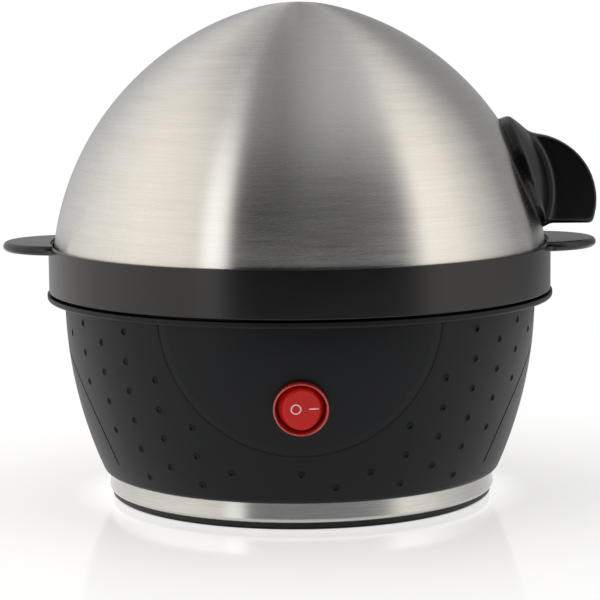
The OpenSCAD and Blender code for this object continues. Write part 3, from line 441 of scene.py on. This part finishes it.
switch_red = moulded("switch_red", (0.5, 0.03, 0.026), 0.12, grain=2600.0,
                     bump=0.02, spread=0.03, shine=0.9, tint=0.08)
rocker_red = moulded("rocker_red", (0.56, 0.013, 0.011), 0.24, grain=2600.0,
                     bump=0.03, spread=0.03, shine=0.2, tint=0.08)
mark_white = moulded("mark_white", (0.96, 0.68, 0.65), 0.4, grain=2600.0, bump=0.02, spread=0.03, tint=0.03)
lamp_glass = moulded("lamp_glass", (0.8, 0.36, 0.1), 0.15, grain=2000.0, bump=0.02, spread=0.03, tint=0.05)
lead_brown = moulded("lead_brown", (0.16, 0.07, 0.03), 0.45, grain=2200.0, bump=0.05, spread=0.04, tint=0.08)
lead_black = moulded("lead_black", (0.015, 0.015, 0.016), 0.45, grain=2200.0, bump=0.05, spread=0.04)
lead_blue = moulded("lead_blue", (0.03, 0.1, 0.36), 0.45, grain=2200.0, bump=0.05, spread=0.04, tint=0.08)

dress(gloss_black, "egg_tray")
dress(zinc, "handle_screws", "handle_washers", "base_screws", "bracket_screws", "pan_nuts", "pan_brackets",
      "thermostat_screws", "thermostat_clamp", "thermal_fuse", "fuse_clip", "block_screw")
dress(satin_black, "housing")
dress(ring_steel, "steel_ring")
dress(base_black, "base_plate")
dress(rubber, "rubber_feet", "cord_grommet")
dress(pan_steel, "heating_pan")
dress(silicone, "pan_seal")
dress(aluminium, "heat_spreader")
dress(sheath, "heating_element")
dress(brass, "element_terminals", "switch_terminals", "terminal_screws")
dress(resin, "thermostat", "terminal_block")
dress(lamp_glass, "switch_lamp")
dress(lead_brown, "lead_live")
dress(lead_black, "lead_switched", "lead_heater")
dress(lead_blue, "lead_neutral", "lead_lamp")


# Lid

def dome_profile():
    """The dome's outside from the hem to the top, its inside back down, and the rolled hem."""
    tip = (0.0, LID_Z + DOME_H - TIP_R)
    low_a = math.degrees(math.asin((LID_Z - SIDE_C[1]) / SIDE_R))
    join_a = math.degrees(math.atan2(tip[1] - SIDE_C[1], tip[0] - SIDE_C[0]))
    outer_side = arc(SIDE_C, SIDE_R, low_a, join_a, DOME_OUTER_STEPS)
    outer_tip = arc(tip, TIP_R, join_a, 90, TIP_OUTER_STEPS)
    hem = (DOME_R - DOME_T / 2 - HEM_R, LID_Z + HEM_R)
    hem_a = math.degrees(math.asin((hem[1] + HEM_R - SIDE_C[1]) / (SIDE_R - DOME_T)))
    inner_side = arc(SIDE_C, SIDE_R - DOME_T, hem_a, join_a, DOME_INNER_STEPS)
    inner_tip = arc(tip, TIP_R - DOME_T, join_a, 90, TIP_INNER_STEPS)
    outer = outer_side + outer_tip[1:]
    inner = inner_side + inner_tip[1:]
    return outer + inner[::-1] + arc(hem, HEM_R, 90, 270, ROUND_STEPS)


def cut_hole(obj, middle, axis, radius, length):
    """Cuts a round hole through a mesh, with all sizes in metres."""
    mesh = bpy.data.meshes.new("cutter")
    bm = bmesh.new()
    turn = Vector(axis).to_track_quat("Z", "Y").to_matrix().to_4x4()
    bmesh.ops.create_cone(bm, cap_ends=True, segments=HOLE_SEGMENTS, radius1=radius, radius2=radius,
                          depth=length, matrix=Matrix.Translation(middle) @ turn)
    bm.to_mesh(mesh)
    bm.free()
    cutter = new_object("cutter", mesh, False)
    made = obj.modifiers.new("hole", "BOOLEAN")
    made.operation = "DIFFERENCE"
    made.solver = "EXACT"
    made.object = cutter
    bpy.context.view_layer.update()
    result = bpy.data.meshes.new_from_object(obj.evaluated_get(bpy.context.evaluated_depsgraph_get()))
    obj.modifiers.clear()
    obj.data = result
    bpy.data.objects.remove(cutter)


dome = new_object("lid_dome_brushed", lathe("lid_dome_brushed", dome_profile(), DOME_SEGMENTS))
vent_a = math.radians(VENT_A)
vent_axis = Vector((0, math.cos(vent_a), math.sin(vent_a)))
vent = Vector((0, SIDE_C[0] + SIDE_R * math.cos(vent_a), SIDE_C[1] + SIDE_R * math.sin(vent_a))) * MM
cut_hole(dome, vent, vent_axis, VENT_D / 2 * MM, VENT_CUT * MM)
dome.data.materials.append(lid_steel)
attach(dome, "lid")
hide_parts("lid_dome")


def smooth_min(a, b, k):
    h = np.clip(0.5 + 0.5 * (b - a) / k, 0, 1)
    return b + (a - b) * h - k * h * (1 - h)


def handle_field(p):
    """Signed distance to the lid's handle: a crowned pad and a fin with rounded edges, set on the dome."""
    x, y, z = p[..., 0], p[..., 1], p[..., 2]
    a = math.radians(PAD_A)
    centre = np.array([SIDE_C[0] + SIDE_R * math.cos(a), 0.0, SIDE_C[1] + SIDE_R * math.sin(a)])
    lean = math.radians(PAD_A - PAD_LEAN)
    normal = np.array([math.cos(lean), 0.0, math.sin(lean)])
    rel = p - centre
    up = rel @ normal
    across = np.sqrt(np.maximum((rel * rel).sum(axis=-1) - up * up, 0))
    ball = centre + normal * (PAD_CROWN - CROWN_R)
    crown = np.sqrt(((p - ball) ** 2).sum(axis=-1)) - CROWN_R
    pad = -smooth_min(-(across - PAD_D / 2), -crown, PAD_BLEND)
    rounded = np.hypot(np.maximum(x - FIN_REACH + FIN_R, 0), z - FIN_UP) - FIN_R
    outline = -smooth_min(-rounded, z - FIN_LOW, FIN_CORNER_R)
    wx, wy = outline + FIN_EDGE_R, np.abs(y) - FIN_T / 2 + FIN_EDGE_R
    fin = np.minimum(np.maximum(wx, wy), 0) + np.hypot(np.maximum(wx, 0), np.maximum(wy, 0)) - FIN_EDGE_R
    whole = smooth_min(pad, fin, FILLET)
    dome_gap = np.hypot(np.hypot(x, y) - SIDE_C[0], z - SIDE_C[1]) - SIDE_R + DOME_T / 2
    return -smooth_min(-whole, dome_gap, SEAT_BLEND)


handle = new_object("lid_handle_moulded", surface_net(
    "lid_handle_moulded", handle_field, HANDLE_LOW, HANDLE_HIGH, HANDLE_STEP))
handle.data.materials.append(gloss_black)
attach(handle, "lid")
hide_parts("lid_handle")


# Switch

def switch_place():
    return (Matrix.Translation((0, -SWITCH_R * MM, SWITCH_Z * MM))
            @ Matrix.Rotation(math.radians(90 - SWITCH_TILT), 4, "X"))


def rocker_place(x, y, up):
    """A place on the rocker's face at rest, or above it by up."""
    turn = (switch_place()
            @ Matrix.Translation((0, 0, ROCKER_PIVOT * MM))
            @ Matrix.Rotation(math.radians(ROCKER_REST), 4, "Y"))
    return turn @ Matrix.Translation((x * MM, y * MM, (ROCKER_ARM + up) * MM))


def case_profile():
    """The case with a thin round rim, which slopes down to the hole inside."""
    rim = (BEZEL_R - RIM_R, BEZEL_H - RIM_R)
    outside = [(0, -BARREL_L), (BARREL_R, -BARREL_L), (BARREL_R, 0), (BEZEL_R, 0)]
    slope = [(RIM_IN, BEZEL_H - RIM_R), (HOLE_R + HOLE_FLARE, BEZEL_H / 3)]
    hole = [(HOLE_R, 0), (HOLE_R, CASE_FLOOR), (0, CASE_FLOOR)]
    return outside + arc(rim, RIM_R, 0, RIM_ARC, ROUND_STEPS) + slope + hole


def rocker_profile():
    """The rocker's face with its rounded edge, and the flank that hides in the case."""
    edge = (FACE_R, ROCKER_ARM - FACE_EDGE_R)
    flank_low = math.degrees(math.asin(ROCKER_LOW / ROCKER_R))
    flank = arc((0, 0), ROCKER_R, flank_low, FLANK_UP, FLANK_STEPS)
    face = [(FACE_R / 2, ROCKER_ARM - FACE_DISH * DISH_HALFWAY), (0, ROCKER_ARM - FACE_DISH)]
    return [(0, ROCKER_LOW)] + flank + arc(edge, FACE_EDGE_R, FLANK_UP, 90, ROUND_STEPS) + face


def mark_ring():
    """The off mark's section, sunk into the face and bevelled on top."""
    low = [(OFF_R_IN, -MARK_H), (OFF_R_OUT, -MARK_H), (OFF_R_OUT, MARK_SIDE)]
    top = [(OFF_R_OUT - MARK_BEVEL, MARK_UP), (OFF_R_IN + MARK_BEVEL, MARK_UP), (OFF_R_IN, MARK_SIDE)]
    return low + top


def rounded_bar(name, length, width, height):
    bm = bmesh.new()
    bmesh.ops.create_cube(bm, size=1, matrix=Matrix.Diagonal((length * MM, width * MM, height * MM, 1)))
    bmesh.ops.bevel(bm, geom=bm.edges, offset=height * BAR_BEVEL * MM, segments=2, affect="EDGES")
    mesh = bpy.data.meshes.new(name)
    bm.to_mesh(mesh)
    bm.free()
    return mesh


case = new_object("switch_case_moulded", lathe("switch_case_moulded", case_profile(), SWITCH_SEGMENTS))
case.matrix_world = switch_place()
case.data.materials.append(switch_red)
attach(case, "base")
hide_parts("switch_case")

rocker = new_object("switch_rocker_moulded", lathe(
    "switch_rocker_moulded", rocker_profile(), SWITCH_SEGMENTS))
for point in rocker.data.vertices:
    up = min(max((point.co.z / MM - SLOPE_FROM) / (ROCKER_ARM - SLOPE_FROM), 0), 1)
    point.co.x *= 1 - END_SLOPE * up
rocker.matrix_world = rocker_place(0, 0, -ROCKER_ARM)
rocker.data.materials.append(rocker_red)
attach(rocker, "rocker")
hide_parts("switch_rocker")

off_mark = new_object("switch_mark_off", lathe("switch_mark_off", mark_ring(), MARK_SEGMENTS))
off_mark.matrix_world = rocker_place(*OFF_PLACE, 0)
on_mark = new_object("switch_mark_on", rounded_bar("switch_mark_on", *ON_SIZE, MARK_H))
on_mark.matrix_world = rocker_place(*ON_PLACE, 0)
for mark in (off_mark, on_mark):
    mark.data.materials.append(mark_white)
    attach(mark, "rocker")


# Studio

# Brightness and warmth of the light tent's wall by azimuth: 0 is behind the camera and 90 on the right
TENT_WALL = [
    (-180, 0.42, 0), (-166, 0.5, 0), (-142, 0.74, 0), (-110, 1.1, 0.6), (-80, 1.3, 1), (-56, 1.2, 1),
    (-48, 1.08, 1), (-41, 1.75, 0.3), (-35, 1.5, 0.3), (-30, 0.04, 0), (-20, 0.01, 0), (-8, 0.01, 0),
    (5, 0.03, 0), (16, 0.015, 0), (30, 0.05, 0), (40, 0.1, 0), (48, 0.24, 0), (54, 0.75, 0.5),
    (60, 1.42, 1), (77, 1.28, 1), (96, 0.82, 0.6), (120, 0.36, 0), (166, 0.36, 0), (180, 0.42, 0),
]
# Brightness and warmth of its ceiling by the place across it, as a share of the tent's radius
TENT_CEILING = [
    (-1, 1.0, 0.6), (-0.5, 0.92, 0.5), (-0.28, 0.42, 0), (-0.1, 0.35, 0), (0.04, 0.5, 0), (0.2, 0.68, 0),
    (0.33, 0.72, 0), (0.45, 1.0, 0.5), (1, 1.15, 0.6),
]
WARM = (1.0, 0.94, 0.855)
WHITE = (1, 1, 1, 1)
TENT_R = 1800.0
TENT_LOW = -1000.0
# Levels are stored as shares of the brightest one
BRIGHTEST = 2.0
# Heights, as shares of the tent's radius, between which the wall turns into the ceiling
CEILING_FROM = 0.66
CEILING_TO = 0.92
# The lit panels stand further apart towards their tops
PANEL_FLARE = 0.4
FLARE_FROM = 0.35


def lit_cloth(tree, value, low, high, stops):
    """The colour of the cloth, which follows stops of (place, level, warmth)."""
    made = add(tree, "ValToRGB", {0: ramp(tree, value, low, high)})
    elements = made.color_ramp.elements
    while len(elements) < len(stops):
        elements.new(0.5)
    for element, (place, level, warmth) in zip(elements, stops):
        element.position = (place - low) / (high - low)
        element.color = [level / BRIGHTEST * (1 + warmth * (c - 1)) for c in WARM] + [1]
    return made.outputs[0]


def light_tent():
    """A tent of lit cloth around the stage, which the camera itself looks through."""
    rows = np.radians(range(0, 91, TENT_ROW))
    profile = [(TENT_R, TENT_LOW)] + [(TENT_R * math.cos(e), TENT_R * math.sin(e)) for e in rows]
    obj = new_object("light_tent", lathe("light_tent", profile, TENT_SEGMENTS, closed=False))
    made, tree, surface = empty_material("light_tent")
    x, y, z = split(tree, object_place(tree))
    azimuth = calc(tree, "ARCTAN2", x, calc(tree, "MULTIPLY", y, -1.0))
    height = calc(tree, "DIVIDE", z, TENT_R * MM)
    above = calc(tree, "MAXIMUM", calc(tree, "SUBTRACT", height, FLARE_FROM), 0.0)
    flare = calc(tree, "ADD", calc(tree, "MULTIPLY", above, PANEL_FLARE), 1.0)
    degrees = calc(tree, "DIVIDE", calc(tree, "DEGREES", azimuth), flare)
    wall = lit_cloth(tree, degrees, -180, 180, TENT_WALL)
    ceiling = lit_cloth(tree, calc(tree, "DIVIDE", x, TENT_R * MM), -1, 1, TENT_CEILING)
    high = ramp(tree, height, CEILING_FROM, CEILING_TO, kind="SMOOTHSTEP")
    cloth = add(tree, "Mix", {0: high, 6: wall, 7: ceiling}, data_type="RGBA").outputs[2]
    emit = add(tree, "Emission", {"Color": cloth, "Strength": BRIGHTEST})
    tree.links.new(emit.outputs[0], surface)
    obj.data.materials.append(made)
    obj.visible_camera = False


# The floor, in metres: its edge, its fade to white, the painted contact shadow under the foot and the
# painted glow beside it
FLOOR_R = 0.42
FADE_FROM = 0.078
FADE_TO = 0.21
PAINTED_SHADOW_FROM = 0.0592
PAINTED_SHADOW_TO = 0.0602
PAINTED_GLOW_TO = 0.074
PAINTED_GLOW = 0.16
FLOOR_LIFT = 0.47
FLOOR_PAINT = (0.9, 0.9, 0.9, 1)
FLOOR_ROUGH = 0.09


def glossy_floor():
    """A glossy floor that mirrors the foot and fades to plain white further out, with a painted contact
    shadow under the foot and a painted glow just beside it.
    """
    mesh = bpy.data.meshes.new("floor")
    bm = bmesh.new()
    bmesh.ops.create_circle(bm, cap_ends=True, segments=FLOOR_SEGMENTS, radius=FLOOR_R)
    bm.to_mesh(mesh)
    bm.free()
    floor = new_object("floor", mesh)
    made, tree, surface = empty_material("floor")
    gloss = add(tree, "BsdfPrincipled", {"Base Color": FLOOR_PAINT, "Roughness": FLOOR_ROUGH})
    away = add(tree, "VectorMath", {0: object_place(tree)}, operation="LENGTH").outputs["Value"]
    fade = ramp(tree, away, FADE_FROM, FADE_TO, kind="SMOOTHSTEP")
    # Painted shade and light: the white lift drops to nothing under the foot as a painted contact shadow,
    # and is raised just outside the foot as a painted glow.
    painted_glow = ramp(tree, away, PAINTED_SHADOW_TO, PAINTED_GLOW_TO, FLOOR_LIFT + PAINTED_GLOW, FLOOR_LIFT)
    level = calc(tree, "MULTIPLY", ramp(tree, away, PAINTED_SHADOW_FROM, PAINTED_SHADOW_TO), painted_glow)
    lift = add(tree, "Emission", {"Color": WHITE, "Strength": level})
    lifted = add(tree, "AddShader", {0: lift.outputs[0], 1: gloss.outputs[0]})
    plain = add(tree, "Emission", {"Color": WHITE, "Strength": 1.0})
    seen = add(tree, "MixShader", {0: fade, 1: lifted.outputs[0], 2: plain.outputs[0]})
    tree.links.new(seen.outputs[0], surface)
    floor.data.materials.append(made)


def white_world():
    world = bpy.data.worlds.new("studio")
    scene.world = world
    world.use_nodes = True
    tree = world.node_tree
    tree.nodes.clear()
    sky = add(tree, "Background", {"Color": WHITE, "Strength": 1.0})
    tree.links.new(sky.outputs[0], add(tree, "OutputWorld").inputs["Surface"])


# The camera, with its place and clip distances in metres
CAMERA_PLACE = (0, -0.779, 0.1634)
CAMERA_DOWN = 7.44
CAMERA_ROLL = -0.5
CAMERA_LENS = 146.8
CAMERA_SENSOR = 36
CLIP_NEAR = 0.01
CLIP_FAR = 50


def front_camera():
    data = bpy.data.cameras.new("camera")
    data.sensor_width = CAMERA_SENSOR
    data.lens = CAMERA_LENS
    data.clip_start = CLIP_NEAR
    data.clip_end = CLIP_FAR
    camera = bpy.data.objects.new("camera", data)
    scene.collection.objects.link(camera)
    camera.location = CAMERA_PLACE
    tilted = Matrix.Rotation(math.radians(90 - CAMERA_DOWN), 4, "X")
    camera.rotation_euler = (tilted @ Matrix.Rotation(math.radians(CAMERA_ROLL), 4, "Z")).to_euler()
    scene.camera = camera


light_tent()
glossy_floor()
white_world()
front_camera()
scene.view_settings.view_transform = "Standard"
